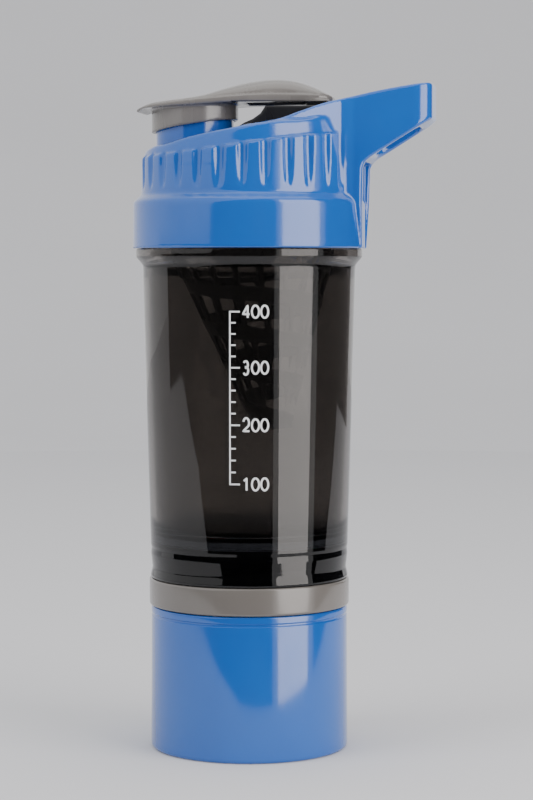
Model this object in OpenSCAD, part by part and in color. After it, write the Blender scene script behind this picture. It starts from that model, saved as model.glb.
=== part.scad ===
// Protein shaker bottle with a screw-on storage cup, a mixing grid, a screw lid and a flip cap.
// Origin: centre of the base, on the bottle's axis. +Z up, +X towards the carry loop.

/* [Storage cup] */
// Outer radius of the cup at its base
cup_r_base = 38.9; // [38:0.1:40]
// Outer radius of the cup at its rim
cup_r_rim = 38.6; // [38:0.1:40]
// Height of the cup
cup_h = 56.4; // [52:0.1:58]
// Wall of the cup
cup_wall = 2.0; // [1.6:0.1:2.2]

/* [Coupling] */
// Outer radius of the coupling's visible band
band_r = 39.4; // [39:0.1:41]
// Height of the band
band_h = 10.6; // [9:0.1:12]
// Height of each threaded spigot
spigot_h = 12; // [11:0.5:13]

/* [Bottle] */
// Outer radius of the bottle at its foot
bottle_r_foot = 38.5; // [38:0.1:39]
// Outer radius of the bottle below its shoulder
bottle_r_top = 41.8; // [41:0.1:42]
// Wall of the bottle
bottle_wall = 2.2; // [1.8:0.1:2.4]
// Height of the drinking chamber's floor above the base
floor_z = 84; // [83:0.5:88]
// Height of the flange's upper face above the base
flange_z = 196.2; // [190:0.1:200]
// Outer radius of the flange
flange_r = 44.5; // [44:0.1:45]
// Outer radius of the threaded neck
neck_r = 41.0; // [40.5:0.1:41.2]
// Height of the threaded neck
neck_h = 16.4; // [15:0.1:17]

/* [Mixing grid] */
// Length of the grid below the neck's rim
grid_drop = 85; // [60:1:95]
// Radius of the grid's bottom ring
grid_r_low = 8; // [6:0.5:12]
// How far the bottom ring sits towards the carry loop
grid_lean = 9; // [0:1:12]

/* [Lid] */
// Outer radius of the smooth band at the lid's foot
lid_r = 45.5; // [45:0.1:46]
// Height of the smooth band
lid_band_h = 18.3; // [17:0.1:19]
// Outer radius of the gripping band
grip_r = 42.2; // [42:0.1:43]
// Number of flutes round the full circle
flutes = 30; // [24:6:36]
// Slope of the gripping band's upper edge
grip_slope = 7.4; // [5:0.1:9]

/* [Carry loop] */
// Reach of the loop from the bottle's axis
loop_reach = 73; // [70:0.5:76]
// Half width of the loop
loop_half_w = 14; // [12:0.5:15]

/* [Spout and cap] */
// Distance of the spout from the bottle's axis
spout_x = 21.5; // [20:0.5:22]
// Outer radius of the spout
spout_r = 15.3; // [14:0.1:15.5]
// Wall of the spout
spout_wall = 2.5; // [2:0.1:3]
// Outer radius of the collar that closes round the spout
collar_r = 17; // [16.8:0.1:17.2]

/* [Hidden] */

$fn = 96;
eps = 0.01;

blue = [0.16, 0.45, 0.80];
taupe = [0.62, 0.60, 0.59];
smoke = [0.12, 0.12, 0.13, 0.75];
black = [0.06, 0.06, 0.07];
silicone = [0.75, 0.76, 0.78];
steel = [0.70, 0.71, 0.73];

// Levels along the axis
seal_h = 0.9;
part_line = 0.3;
band_z = cup_h + part_line;
band_top = band_z + band_h;
foot_z = band_top + 0.2;
floor_t = 2.4;
floor_under_z = floor_z - floor_t;
neck_top = flange_z + neck_h;
grid_flange_h = 1.4;
gasket_z = neck_top + grid_flange_h;
gasket_h = 2.2;
seat_z = gasket_z + gasket_h;
lid_shoulder_z = flange_z + lid_band_h;
deck_z = 238;
deck_wall = 2.4;

// Threads: two starts each, all right-handed
starts = 2;
lid_lead = 12;
cup_lead = 10;
cup_thread_h = 1.1;
cup_thread_root = 2.4;
cup_thread_crest = 1.2;
cup_thread_sweep = 150;
cup_thread_inset = 6.4;
lid_thread_h = 1.7;
lid_thread_root = 2.8;
lid_thread_crest = 1.4;
lid_thread_sweep = 200;
thread_embed = 0.6;
thread_steps = 18;

// Hinge of the flip cap
hinge_x = 28.5;
hinge_z = 247;
pin_r = 1.5;
pin_play = 0.06;
knuckle_r = 3.4;
knuckle_half_w = 9.9;
lug_gap = 0.4;
lug_t = 3.2;
pin_length = 2 * (knuckle_half_w + lug_gap + lug_t);

// One thread ridge: a trapezoid that climbs along a helix from angle 0 to sweep.
// side is 1 when the ridge stands out from radius r and -1 when it stands in.
function ridge_ring(r, side, height, root, crest, turn, z) = [
    for (p = [[-side * thread_embed, -root / 2], [side * height, -crest / 2],
              [side * height, crest / 2], [-side * thread_embed, root / 2]])
        [(r + p[0]) * cos(turn), (r + p[0]) * sin(turn), z + p[1]]
];

module thread_ridge(r, side, height, root, crest, z0, lead, sweep) {
    points = [
        for (i = [0 : thread_steps])
            let (turn = sweep * i / thread_steps)
                each ridge_ring(r, side, height, root, crest, turn, z0 + lead * turn / 360)
    ];
    last = 4 * thread_steps;
    around = [
        for (i = [0 : thread_steps - 1], k = [0 : 3])
            let (a = 4 * i + k, b = 4 * i + (k + 1) % 4)
                each (side > 0 ? [[a, b, a + 4], [b, b + 4, a + 4]] : [[a, a + 4, b], [b, a + 4, b + 4]])
    ];
    ends = side > 0 ? [[3, 2, 1, 0], [last, last + 1, last + 2, last + 3]]
                    : [[0, 1, 2, 3], [last + 3, last + 2, last + 1, last]];
    polyhedron(points = points, faces = concat(around, ends), convexity = 4);
}

module thread(r, side, height, root, crest, z0, lead, sweep) {
    for (s = [0 : starts - 1])
        rotate([0, 0, s * 360 / starts])
            thread_ridge(r, side, height, root, crest, z0, lead, sweep);
}

// The thread shared by the cup, the coupling and the bottle's foot
module cup_thread(r, side, z0) {
    thread(r, side, cup_thread_h, cup_thread_root, cup_thread_crest, z0, cup_lead, cup_thread_sweep);
}

// The thread between the bottle's neck and the lid
module lid_thread(r, side, z0) {
    thread(r, side, lid_thread_h, lid_thread_root, lid_thread_crest, z0, lid_lead, lid_thread_sweep);
}

// A solid of revolution from an outline of [radius, height] points
module turned(outline) {
    rotate_extrude()
        polygon(outline);
}

// An outline in the X-Z plane, made into a plate of the given half width
module side_plate(outline, half_w) {
    rotate([90, 0, 0])
        translate([0, 0, -half_w])
            linear_extrude(height = 2 * half_w)
                polygon(outline);
}

// Everything above a plane that slopes up towards the carry loop
module above_slope(z_at_axis, slope, from_x = -80) {
    translate([0, 0, z_at_axis])
        rotate([0, -slope, 0])
            translate([from_x, -80, 0])
                cube([200, 160, 80]);
}

// ---- Storage cup ----
cup_inner = cup_r_rim - cup_wall;
cup_floor = 2.6;
cup_thread_z = band_z - cup_thread_inset;
upper_thread_z = band_top + cup_thread_inset;

module storage_cup() {
    foot_r = 1.6;
    corner_r = 5;
    lip = 0.35;
    lip_edge = 0.8;
    color(blue) {
        difference() {
            turned([
                [0, 0], [cup_r_base - foot_r, 0],
                for (a = [0 : 22.5 : 90]) [cup_r_base - foot_r + foot_r * sin(a), foot_r - foot_r * cos(a)],
                [cup_r_rim, cup_h - 3.8], [cup_r_rim - lip, cup_h - 3.5], [cup_r_rim - lip, cup_h - 3.1],
                [cup_r_rim, cup_h - 2.8], [cup_r_rim, cup_h - lip_edge], [cup_r_rim - lip_edge, cup_h],
                [0, cup_h]
            ]);
            turned([
                [0, cup_floor], [cup_inner - corner_r, cup_floor],
                for (a = [22.5 : 22.5 : 90])
                    [cup_inner - corner_r + corner_r * sin(a), cup_floor + corner_r - corner_r * cos(a)],
                [cup_inner, cup_h + 1], [0, cup_h + 1]
            ]);
        }
        cup_thread(cup_inner, -1, cup_thread_z);
    }
}

// ---- Seal between the cup and the coupling ----
spigot_gap = 1.5;
spigot_r = cup_inner - spigot_gap;
seal_gap = 0.3;
seal_groove = 0.5;

module storage_seal() {
    color(silicone)
        translate([0, 0, band_z - seal_h])
            difference() {
                cylinder(r = cup_inner - seal_gap, h = seal_h);
                translate([0, 0, -1])
                    cylinder(r = spigot_r - seal_groove, h = seal_h + 2);
            }
}

// ---- Coupling: a band with a floor, a spigot down into the cup and one up into the bottle ----
skirt_inner = bottle_r_foot - bottle_wall;
upper_spigot_r = skirt_inner - spigot_gap;
spigot_wall = 1.9;
upper_spigot_top = band_top + spigot_h;
web_z = band_z + 3;
web_h = 2.2;

module storage_coupling() {
    edge = 0.8;
    color(taupe) {
        difference() {
            turned([
                [0, band_z - spigot_h], [spigot_r, band_z - spigot_h],
                [spigot_r, band_z - seal_h], [spigot_r - seal_groove, band_z - seal_h],
                [spigot_r - seal_groove, band_z], [band_r - edge, band_z], [band_r, band_z + edge],
                [band_r, band_top - edge], [band_r - edge, band_top],
                [upper_spigot_r, band_top], [upper_spigot_r, upper_spigot_top], [0, upper_spigot_top]
            ]);
            translate([0, 0, band_z - spigot_h - 1])
                cylinder(r = spigot_r - spigot_wall, h = spigot_h + 1 + web_z - band_z);
            translate([0, 0, web_z + web_h])
                cylinder(r = upper_spigot_r - spigot_wall, h = band_h + spigot_h + 1);
        }
        cup_thread(spigot_r, 1, cup_thread_z - cup_lead / 4);
        cup_thread(upper_spigot_r, 1, upper_thread_z);
    }
}

// ---- Seal under the bottle's floor, pressed on by the coupling's upper rim ----
module base_seal() {
    base_seal_h = floor_under_z - upper_spigot_top;
    color(silicone)
        translate([0, 0, upper_spigot_top])
            difference() {
                cylinder(r = skirt_inner - seal_gap, h = base_seal_h);
                translate([0, 0, -1])
                    cylinder(r = upper_spigot_r - spigot_wall, h = base_seal_h + 2);
            }
}

// ---- Bottle ----
// Outer radius of the straight part of the wall at height z
taper_low_z = 67;
taper_z = flange_z - 6.2;
function wall_r(z) =
    bottle_r_foot + (bottle_r_top - bottle_r_foot) * (z - taper_low_z) / (taper_z - taper_low_z);

neck_inner = neck_r - bottle_wall;
neck_thread_z = flange_z + 5.4;

module bottle_body() {
    flange_h = 2.7;
    floor_r = 8;
    waist_z = 79.5;
    inner_z = taper_z - 4;
    outer = [
        [skirt_inner, foot_z], [bottle_r_foot + 0.1, foot_z], [bottle_r_foot + 0.4, foot_z + 0.9],
        [bottle_r_foot - 0.3, 72], [wall_r(77) + 0.2, 76.6], [wall_r(waist_z) - 0.2, waist_z],
        [wall_r(81), 81], [wall_r(taper_z), taper_z],
        for (a = [15 : 25 : 90])
            [flange_r - 0.4 - (flange_r - 0.4 - bottle_r_top) * cos(a), taper_z + 3.2 * sin(a)],
        [flange_r, flange_z - flange_h], [flange_r, flange_z - 0.3], [flange_r - 0.3, flange_z],
        [neck_r, flange_z], [neck_r, neck_top - 0.5], [neck_r - 0.5, neck_top], [neck_inner, neck_top]
    ];
    chamber = [
        [neck_inner, flange_z - 3], [wall_r(inner_z) - bottle_wall, inner_z],
        [wall_r(floor_z + floor_r) - bottle_wall, floor_z + floor_r],
        for (a = [67.5 : -22.5 : 0])
            [wall_r(floor_z) - bottle_wall - floor_r * (1 - sin(a)), floor_z + floor_r * (1 - cos(a))],
        [0, floor_z], [0, floor_under_z], [skirt_inner, floor_under_z]
    ];
    color(smoke) {
        turned(concat(outer, chamber));
        cup_thread(skirt_inner, -1, upper_thread_z - cup_lead / 4);
        lid_thread(neck_r, 1, neck_thread_z);
    }
}

// ---- Mixing grid: a leaning cone of ribs and hoops, hung from the neck's rim ----
grid_r_high = 36.2;
grid_wall = 1.6;
grid_collar_h = 6;
grid_hoops = 6;
grid_ribs = 8;

// Centre and radius of the grid's wall at depth t, from 0 at the top to 1 at the bottom
function grid_x(t) = grid_lean * t;
function grid_r(t) = grid_r_high + (grid_r_low - grid_r_high) * t;
function grid_z(t) = neck_top - grid_collar_h - (grid_drop - grid_collar_h) * t;

module grid_hoop(t, h) {
    translate([grid_x(t), 0, grid_z(t) - h / 2])
        difference() {
            cylinder(r = grid_r(t), h = h);
            translate([0, 0, -1])
                cylinder(r = grid_r(t) - grid_wall, h = h + 2);
        }
}

module grid_rib(turn) {
    rib_w = 3;
    rib_t = 1.8;
    inset = 1.2;
    top = [(grid_r_high - inset) * cos(turn), (grid_r_high - inset) * sin(turn), grid_z(0)];
    low = [grid_lean + (grid_r_low - inset) * cos(turn), (grid_r_low - inset) * sin(turn), grid_z(1)];
    run = low - top;
    reach = norm(run);
    translate(top)
        rotate([0, acos(run[2] / reach), atan2(run[1], run[0])])
            translate([-rib_t / 2, -rib_w / 2, 0])
                cube([rib_t, rib_w, reach]);
}

module mixing_grid() {
    hoop_h = 3;
    color(black)
        union() {
            difference() {
                union() {
                    translate([0, 0, neck_top])
                        cylinder(r = neck_r - 0.3, h = grid_flange_h);
                    translate([0, 0, grid_z(0) - hoop_h / 2])
                        cylinder(r = neck_inner - 0.4, h = neck_top - grid_z(0) + hoop_h / 2 + eps);
                }
                translate([0, 0, grid_z(0) - hoop_h])
                    cylinder(r = grid_r_high - grid_wall, h = 20);
            }
            for (i = [1 : grid_hoops])
                grid_hoop(i / grid_hoops, hoop_h);
            for (i = [0 : grid_ribs - 1])
                grid_rib(360 * (i + 0.5) / grid_ribs);
        }
}

// ---- Gasket in the lid ----
module lid_gasket() {
    color(silicone)
        translate([0, 0, gasket_z])
            difference() {
                cylinder(r = neck_r - 0.2, h = gasket_h);
                translate([0, 0, -1])
                    cylinder(r = neck_inner - 1.6, h = gasket_h + 2);
            }
}

// ---- Lid ----
lid_wall = 2.2;
lid_inner = lid_r - lid_wall;
big = 60;
crown_low_r = 41.4;
crown_high_r = 37.6;
crown_low_z = 231;
crown_high_z = 254;
grip_front_z = 232.3;
grip_axis_z = 235.2;

// Upper edge of the raised walls, from the front of the deck to the end of the carry loop
wall_top = [[-30, 237.2], [-20, 238.2], [-2, 241.2], [17, 245.3], [24, 248.3], [31, 251.2], [36, 252.9],
            [53, 256.8], [loop_reach, 259.8]];

// Rounded end of the carry loop in plan, as points from angle a0 to a1 about [x, y]
function arc(x, y, r, a0, a1, steps = 8) = [
    for (i = [0 : steps]) let (a = a0 + (a1 - a0) * i / steps) [x + r * cos(a), y + r * sin(a)]
];

module skirt() {
    plain_half_angle = 20;
    difference() {
        turned([
            [0, flange_z + 0.2], [lid_r - 0.6, flange_z + 0.2], [lid_r, flange_z + 0.8],
            [lid_r, lid_shoulder_z - 0.7], [lid_r - 0.7, lid_shoulder_z],
            [grip_r + 0.5, lid_shoulder_z + 2.4],
            [grip_r, lid_shoulder_z + 3.2], [grip_r, deck_z + 7], [0, deck_z + 7]
        ]);
        above_slope(grip_axis_z, grip_slope, from_x = -22);
        translate([-80, -80, grip_front_z])
            cube([60, 160, 80]);
        for (i = [0 : flutes - 1])
            if (abs(((i * 360 / flutes + 180) % 360) - 180) > plain_half_angle)
                rotate([0, 0, i * 360 / flutes])
                    flute();
    }
}

// A groove that starts as a point and widens and deepens upwards
module flute() {
    flute_r = 2.1;
    low_z = 218.3;
    low_gap = 0.2;
    lean = 5.2;
    translate([grip_r + flute_r + low_gap, 0, low_z])
        rotate([0, -lean, 0])
            cylinder(r = flute_r, h = 27, $fn = 24);
}

module crown() {
    intersection() {
        translate([0, 0, crown_low_z])
            cylinder(r1 = crown_low_r, r2 = crown_high_r, h = crown_high_z - crown_low_z);
        side_plate([
            [-60, 220], [-60, 233], [-41, 233], [-38.5, 236.2], [-30, 237.2], [-20, 238.2], [-2, 241.2],
            [17, 245.3], [26, 244.8], [34, 247.6], [37, 248.5], [60, 248.5], [60, 220]
        ], big);
    }
}

// Raised walls that leave the crown and run into the carry loop, and the loop itself
module loop() {
    corner = 7;
    half = loop_half_w;
    arm = 4;
    hole_r = 3;
    hole_near = 53;
    hole_far = loop_reach - 9;
    low = 190;
    tall = 80;
    outer = concat(
        [[6, -37], [24, -29.5], [42, -half]],
        arc(loop_reach - corner, -half + corner, corner, -90, 0),
        arc(loop_reach - corner, half - corner, corner, 0, 90),
        [[42, half], [24, 29.5], [6, 37]]
    );
    intersection() {
        difference() {
            translate([0, 0, low])
                linear_extrude(height = tall)
                    polygon(outer);
            translate([0, 0, low])
                linear_extrude(height = tall)
                    polygon(concat(
                        arc(hole_near, -half + arm + hole_r, hole_r, 180, 270),
                        arc(hole_far, -half + arm + hole_r, hole_r, 270, 360),
                        arc(hole_far, half - arm - hole_r, hole_r, 0, 90),
                        arc(hole_near, half - arm - hole_r, hole_r, 90, 180)
                    ));
        }
        side_plate(concat(wall_top, [
            [loop_reach, 246.2], [49, 231.2], [46.4, 228.6], [45.6, flange_z + 0.2], [38, flange_z + 0.2],
            [6, 225], [-30, 225]
        ]), big);
    }
}

// The slot that the open cap's tail turns in
well_back = 39.2;
well_half = loop_half_w - 3.6;

// Well between the raised walls, down to the deck
module deck_well() {
    well_r = 34;
    translate([0, 0, deck_z])
        linear_extrude(height = 40)
            polygon(concat(
                [for (a = [50 : 10 : 310]) [well_r * cos(a), well_r * sin(a)]],
                [[well_back, -well_half], [well_back, well_half]]
            ));
}

// Step between the arms, low enough for the open cap to lie over it
module loop_step() {
    step_z = 243;
    step_far = 50.5;
    translate([well_back - 1, -well_half, step_z])
        cube([step_far - well_back + 1, 2 * well_half, 40]);
}

module spine_recess() {
    half_top = 10.6;
    half_low = 6;
    translate([44.2, 0, 0])
        rotate([90, 0, 90])
            linear_extrude(height = 10)
                polygon([[-half_low, 190], [half_low, 190], [half_top, 214], [half_top, 229],
                         [-half_top, 229], [-half_top, 214]]);
}

// The spine narrows towards the lid's lower edge
module spine_sides() {
    for (side = [-1, 1])
        translate([38, 0, 0])
            rotate([90, 0, 90])
                linear_extrude(height = 12)
                    polygon([[side * 8.5, flange_z - 5], [side * 8.5, flange_z], [side * 14.1, 214],
                             [side * 20, 214], [side * 20, flange_z - 5]]);
}

module hinge_lugs() {
    lug_r = 4.4;
    outline = concat(
        [[-3, deck_z - 1], [-3, 243.4], [0, 244.8], [3.5, 246.4], [6.5, 248.6], [9, 251.4]],
        [[20, 251.4]],
        [for (a = [80 : -20 : -40]) [hinge_x + lug_r * cos(a), hinge_z + lug_r * sin(a)]],
        [[hinge_x + 4, deck_z - 1]]
    );
    for (side = [-1, 1])
        translate([0, side * (knuckle_half_w + lug_gap + lug_t / 2), 0])
            side_plate(outline, lug_t / 2);
}

module spout_outer() {
    translate([-spout_x, 0, deck_z - 3])
        cylinder(r = spout_r, h = 20);
}

module lid_hollow() {
    roof_z = deck_z - deck_wall;
    turned([
        [0, flange_z - 1], [lid_inner, flange_z - 1], [lid_inner, seat_z - 2.2], [neck_r + 0.2, seat_z - 1],
        [neck_r + 0.2, seat_z], [neck_inner - 1.8, seat_z], [neck_inner - 1.8, roof_z - 10],
        [neck_inner - 3.4, roof_z - 4.5], [neck_inner - 8, roof_z], [0, roof_z]
    ]);
}

module lid() {
    spout_slope = 5;
    spout_top_z = 250.4;
    color(blue) {
        difference() {
            union() {
                skirt();
                difference() {
                    union() {
                        crown();
                        difference() {
                            loop();
                            spine_sides();
                            spine_recess();
                        }
                    }
                    deck_well();
                    loop_step();
                }
                spout_outer();
                hinge_lugs();
            }
            lid_hollow();
            translate([-spout_x, 0, deck_z - 10])
                cylinder(r = spout_r - spout_wall, h = 40);
            translate([-spout_x, 0, spout_top_z])
                rotate([0, -spout_slope, 0])
                    translate([-22, -30, 0])
                        cube([42, 60, 9]);
            translate([hinge_x, 0, hinge_z])
                rotate([90, 0, 0])
                    cylinder(r = pin_r, h = pin_length, center = true);
        }
        lid_thread(lid_inner, -1, neck_thread_z - lid_lead / 4);
    }
}

// ---- Hinge pin ----
module hinge_pin() {
    color(steel)
        translate([hinge_x, 0, hinge_z])
            rotate([90, 0, 0])
                cylinder(r = pin_r, h = pin_length, center = true);
}

// ---- Flip cap ----
cap_under = 252.9;

// Half of the cap's outline in plan, from the thumb lip to the tail, which is narrow enough to turn
// between the raised walls
cap_edge = concat(
    [for (a = [170 : -10 : 110]) [-spout_x + 21.4 * cos(a), 19 * sin(a)]],
    [[-20, 18.6], [-2, 16.8], [8, 13.8], [14, 11.4], [19, 9.9], [27, 9.8]],
    [for (a = [75 : -15 : 0]) [25.6 + 8 * cos(a), 9.8 * sin(a)]]
);

module cap_shell() {
    intersection() {
        translate([0, 0, 240])
            linear_extrude(height = 40)
                polygon(concat(cap_edge, [
                    for (i = [len(cap_edge) - 1 : -1 : 0]) [cap_edge[i][0], -cap_edge[i][1]]
                ]));
        side_plate([
            [-44, 249.4], [-41, 250.6], [-38, 250.6], [-3, cap_under], [36, cap_under], [36, 253.4],
            [33.4, 255.2], [28, 258.2], [20, 261.2], [11.5, 262.3], [2, 261.6], [-8, 259.4], [-15.5, 256.7],
            [-30, 254.6], [-38, 253.4], [-42.5, 250.7], [-44, 250.2]
        ], 40);
    }
}

// The dome is hollow underneath, ahead of the knuckle
module cap_hollow() {
    cap_hollow_half_w = 7.8;
    side_plate([
        [-1, cap_under - 1], [-1, 255], [4, 257.6], [12, 258.6], [20, 257.4], [23.5, 255],
        [23.5, cap_under - 1]
    ], cap_hollow_half_w);
}

module collar() {
    collar_slope = 8.7;
    collar_gap = 0.3;
    collar_low = 244.2;
    difference() {
        translate([-spout_x, 0, 236])
            cylinder(r = collar_r, h = 18);
        translate([-spout_x, 0, 235])
            cylinder(r = spout_r + collar_gap, h = 17.2);
        translate([-spout_x, 0, collar_low])
            rotate([0, -collar_slope, 0])
                translate([-30, -30, -20])
                    cube([60, 60, 20]);
        above_slope(253.2, 4.1);
    }
}

module knuckle() {
    translate([hinge_x, 0, hinge_z])
        rotate([90, 0, 0])
            cylinder(r = knuckle_r, h = 2 * knuckle_half_w, center = true);
    side_plate([
        [hinge_x - knuckle_r, hinge_z], [hinge_x - knuckle_r - 1, cap_under + 0.5],
        [hinge_x + knuckle_r - 0.8, cap_under + 0.5], [hinge_x + knuckle_r, hinge_z]
    ], knuckle_half_w);
}

module flip_cap() {
    color(taupe)
        difference() {
            union() {
                difference() {
                    cap_shell();
                    cap_hollow();
                }
                collar();
                knuckle();
            }
            translate([hinge_x, 0, hinge_z])
                rotate([90, 0, 0])
                    cylinder(r = pin_r + pin_play, h = pin_length, center = true);
        }
}

// ---- Soft plug that closes the spout ----
module spout_plug() {
    plug_r = spout_r - spout_wall - 0.4;
    plug_wall = 3;
    plug_neck = 0.4;
    top_z = 250.4;
    color(silicone)
        translate([-spout_x, 0, 0])
            difference() {
                union() {
                    translate([0, 0, top_z - 5.2])
                        cylinder(r1 = plug_r - 1, r2 = plug_r, h = 4);
                    translate([0, 0, top_z - 1.2 - eps])
                        cylinder(r = plug_r - plug_neck, h = 1.2 + eps);
                }
                translate([0, 0, top_z - 6])
                    cylinder(r = plug_r - plug_wall, h = 4.6);
            }
}

storage_cup();
storage_seal();
storage_coupling();
base_seal();
bottle_body();
mixing_grid();
lid_gasket();
lid();
hinge_pin();
flip_cap();
spout_plug();
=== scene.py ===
"""Looks for the protein shaker bottle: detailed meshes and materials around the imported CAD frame.

Shapes are worked out in millimetres and scaled to metres when a piece is made.
+Z is the bottle's axis, +X points to the carry loop and the camera looks from about -Y.
"""

import math

import bpy
import numpy as np
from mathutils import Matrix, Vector


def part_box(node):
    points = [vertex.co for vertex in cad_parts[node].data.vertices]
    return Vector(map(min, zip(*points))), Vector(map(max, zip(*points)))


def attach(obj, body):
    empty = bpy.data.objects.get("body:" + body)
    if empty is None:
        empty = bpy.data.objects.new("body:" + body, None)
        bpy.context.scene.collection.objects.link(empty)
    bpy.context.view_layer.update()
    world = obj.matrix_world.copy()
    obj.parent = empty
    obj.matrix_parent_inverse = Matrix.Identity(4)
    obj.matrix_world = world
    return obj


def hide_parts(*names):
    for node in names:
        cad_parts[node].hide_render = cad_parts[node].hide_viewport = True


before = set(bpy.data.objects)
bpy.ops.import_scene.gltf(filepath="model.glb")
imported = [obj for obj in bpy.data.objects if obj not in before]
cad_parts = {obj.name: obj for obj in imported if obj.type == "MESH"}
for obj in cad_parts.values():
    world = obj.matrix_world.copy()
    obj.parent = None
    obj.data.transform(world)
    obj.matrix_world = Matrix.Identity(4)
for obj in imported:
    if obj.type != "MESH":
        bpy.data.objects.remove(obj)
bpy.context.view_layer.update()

MM = 0.001
WALL_SEGMENTS = 256
YAW = math.radians(9.2)


# ---------------------------------------------------------------- levels and radii from the frame

def span(node):
    """A node's lowest and highest corners in millimetres."""
    low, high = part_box(node)
    return [v / MM for v in low], [v / MM for v in high]


cup_hi = span("storage_cup")[1]
band_lo, band_hi = span("storage_coupling")
bottle_lo, bottle_hi = span("bottle_body")
lid_lo, lid_hi = span("lid")
cap_lo, cap_hi = span("flip_cap")
grid_lo, grid_hi = span("mixing_grid")
gasket_hi = span("lid_gasket")[1]
pin_lo, pin_hi = span("hinge_pin")
plug_lo, plug_hi = span("spout_plug")

LID_R = lid_hi[1]
GRIP_R = LID_R - 3.3
PIN_R = 1.5
FLANGE_Z = lid_lo[2] - 0.2
NECK_TOP = bottle_hi[2]
CUP_R = cup_hi[1]
BAND_R = band_hi[1]
PIN_X = (pin_lo[0] + pin_hi[0]) / 2
PIN_Z = (pin_lo[2] + pin_hi[2]) / 2
SPOUT_X = (plug_lo[0] + plug_hi[0]) / 2
SPOUT_R = 15.3
SPOUT_WALL = 2.5
LOOP_X = lid_hi[0]


# ---------------------------------------------------------------- mesh helpers

def linked_mesh(name, verts, faces, material, smooth=True):
    """An object in the scene from points in metres."""
    mesh = bpy.data.meshes.new(name)
    mesh.from_pydata(verts, [], faces)
    mesh.validate()
    mesh.update()
    mesh.polygons.foreach_set("use_smooth", np.full(len(mesh.polygons), smooth))
    mesh.materials.append(material)
    obj = bpy.data.objects.new(name, mesh)
    bpy.context.scene.collection.objects.link(obj)
    return obj


def piece(name, verts_mm, faces, body, slot, material, nodes=()):
    """Make a smooth-shaded object from points in millimetres and tie it to its CAD body."""
    obj = linked_mesh(name, (np.asarray(verts_mm, dtype=float) * MM).tolist(), faces, material)
    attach(obj, body)
    if nodes:
        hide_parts(*nodes)


def rounded(corners, steps=5):
    """An outline of (r, z, radius) corners as points, with each corner turned into an arc."""
    points = []
    count = len(corners)
    for i, (r, z, radius) in enumerate(corners):
        here = np.array([r, z], dtype=float)
        before = np.array(corners[i - 1][:2], dtype=float)
        after = np.array(corners[(i + 1) % count][:2], dtype=float)
        if radius <= 0:
            points.append(here)
            continue
        u = (before - here) / np.linalg.norm(before - here)
        v = (after - here) / np.linalg.norm(after - here)
        half = math.acos(max(-1.0, min(1.0, float(u @ v)))) / 2
        room = 0.49 * min(np.linalg.norm(before - here), np.linalg.norm(after - here))
        reach = min(radius / math.tan(half), room)
        start, end = here + u * reach, here + v * reach
        for k in range(steps + 1):
            t = k / steps
            points.append((1 - t) ** 2 * start + 2 * t * (1 - t) * here + t ** 2 * end)
    return np.array(points)


def lathe(outline, segments=192):
    """Turn a closed outline of (r, z) points about the axis into vertices and quads."""
    outline = np.asarray(outline, dtype=float)
    turns = np.linspace(0, 2 * math.pi, segments, endpoint=False)
    ring = len(outline)
    verts = np.stack([
        np.outer(np.cos(turns), outline[:, 0]), np.outer(np.sin(turns), outline[:, 0]),
        np.tile(outline[:, 1], (segments, 1)),
    ], axis=-1).reshape(-1, 3)
    faces = []
    for s in range(segments):
        a, b = s * ring, ((s + 1) % segments) * ring
        for k in range(ring):
            n = (k + 1) % ring
            faces.append((a + k, b + k, b + n, a + n))
    return weld_axis(verts, faces)


def weld_axis(verts, faces):
    """Join the points that a turned outline puts on the axis."""
    on_axis = np.hypot(verts[:, 0], verts[:, 1]) < 1e-6
    index = np.arange(len(verts))
    first = {}
    for i in np.flatnonzero(on_axis):
        index[i] = first.setdefault(round(float(verts[i, 2]), 5), i)
    kept = np.unique(index)
    remap = {int(old): new for new, old in enumerate(kept)}
    out = []
    for f in faces:
        corners = []
        for i in f:
            j = remap[int(index[i])]
            if j not in corners:
                corners.append(j)
        if len(corners) > 2:
            out.append(tuple(corners))
    return verts[kept], out


def join_parts(*parts):
    """Several (verts, faces) pairs as one."""
    verts, faces, base = [], [], 0
    for part_verts, part_faces in parts:
        verts.append(np.asarray(part_verts, dtype=float))
        faces.extend(tuple(i + base for i in f) for f in part_faces)
        base += len(part_verts)
    return np.concatenate(verts), faces


def thread(radius, side, height, root, z0, lead, sweep, starts=2, steps=64):
    """Round-topped thread ridges that fade out at both ends; side is 1 outwards and -1 inwards."""
    section = [(-0.35, -0.5), (0.0, -0.5), (0.55, -0.36), (0.9, -0.2), (1.0, 0.0),
               (0.9, 0.2), (0.55, 0.36), (0.0, 0.5), (-0.35, 0.5)]
    parts = []
    for s in range(starts):
        verts, faces = [], []
        for i in range(steps + 1):
            t = i / steps
            fade = min(1.0, 8 * t, 8 * (1 - t))
            fade = max(0.02, math.sin(fade * math.pi / 2))
            turn = math.radians(sweep * t + 360 * s / starts)
            z = z0 + lead * sweep * t / 360
            for out, up in section:
                r = radius + side * height * (out * fade if out > 0 else out)
                verts.append((r * math.cos(turn), r * math.sin(turn), z + up * root * (0.4 + 0.6 * fade)))
        ring = len(section)
        for i in range(steps):
            for k in range(ring):
                n = (k + 1) % ring
                quad = (i * ring + k, i * ring + n, (i + 1) * ring + n, (i + 1) * ring + k)
                faces.append(quad if side < 0 else quad[::-1])
        cap = tuple(range(ring))
        end = tuple(range(steps * ring, (steps + 1) * ring))
        faces += [cap[::-1], end] if side < 0 else [cap, end[::-1]]
        parts.append((verts, faces))
    return join_parts(*parts)


# ---------------------------------------------------------------- distance fields and their meshing

def smin(a, b, k):
    """Union with a fillet of about k."""
    h = np.maximum(k - np.abs(a - b), 0.0) / k
    return np.minimum(a, b) - h * h * k * 0.25


def smax(a, b, k):
    """Intersection with an edge rounded by about k."""
    return -smin(-a, -b, k)


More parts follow.
